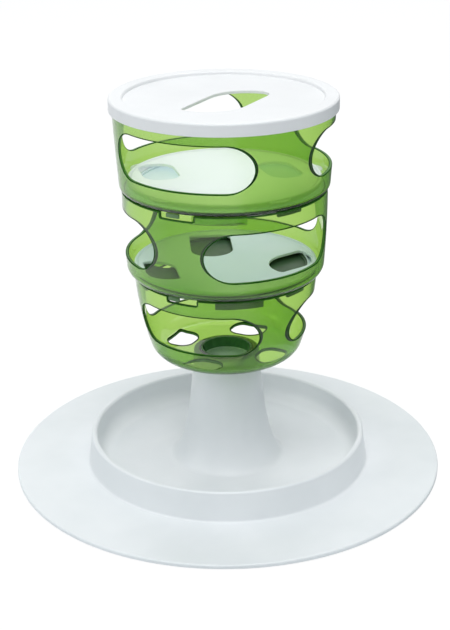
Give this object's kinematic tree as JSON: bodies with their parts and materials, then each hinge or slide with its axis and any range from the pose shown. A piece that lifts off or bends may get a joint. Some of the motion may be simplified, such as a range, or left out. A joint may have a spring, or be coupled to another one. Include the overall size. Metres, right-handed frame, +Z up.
{
  "type": "cat food tree",
  "caption": "Cat feeding toy: see-through windowed cups stacked on a column over a wide catch tray, with turning drop plates and a lid with a filling hole.",
  "frame": {"origin": "centre of the footprint, on the floor under the column", "axes": "+Z up along the column's axis; the front, with the filling side of the windows, faces -Y; +X is to the right seen from the front"},
  "size_m": [0.3499, 0.35, 0.31],
  "materials": {
    "white_plastic": "satin moulded",
    "lid_plastic": "satin moulded",
    "plate_plastic": "satin moulded",
    "green_clear_plastic": "clear tinted, polished",
    "rubber": "matte"
  },
  "bodies": {
    "base": {"base_tray": "white_plastic", "foot_1": "rubber", "foot_2": "rubber", "foot_3": "rubber", "foot_4": "rubber", "foot_5": "rubber", "foot_6": "rubber"},
    "lower_tier": {"lower_cup": "green_clear_plastic"},
    "middle_tier": {"middle_cup": "green_clear_plastic"},
    "middle_disc": {"middle_plate": "plate_plastic"},
    "upper_tier": {"upper_cup": "green_clear_plastic"},
    "upper_disc": {"upper_plate": "plate_plastic"},
    "lid": {"lid": "lid_plastic"}
  },
  "joints": [
    {"name": "lower_twist", "type": "hinge", "parent": "base", "child": "lower_tier", "pos_m": [0, 0, 0.0985], "axis": [0, 0, 1], "range_deg": [-24, 0]},
    {"name": "middle_twist", "type": "hinge", "parent": "lower_tier", "child": "middle_tier", "pos_m": [0, 0, 0.1685], "axis": [0, 0, 1], "range_deg": [0, 11]},
    {"name": "middle_disc_turn", "type": "hinge", "parent": "middle_tier", "child": "middle_disc", "pos_m": [0, 0, 0.1713], "axis": [0, 0, 1], "continuous": true},
    {"name": "upper_twist", "type": "hinge", "parent": "middle_tier", "child": "upper_tier", "pos_m": [0, 0, 0.238], "axis": [0, 0, 1], "range_deg": [-3, 7.5]},
    {"name": "upper_disc_turn", "type": "hinge", "parent": "upper_tier", "child": "upper_disc", "pos_m": [0, 0, 0.2408], "axis": [0, 0, 1], "continuous": true},
    {"name": "lid_lift", "type": "slide", "parent": "upper_tier", "child": "lid", "axis": [0, 0, 1], "range_m": [0, 0.06]}
  ]
}
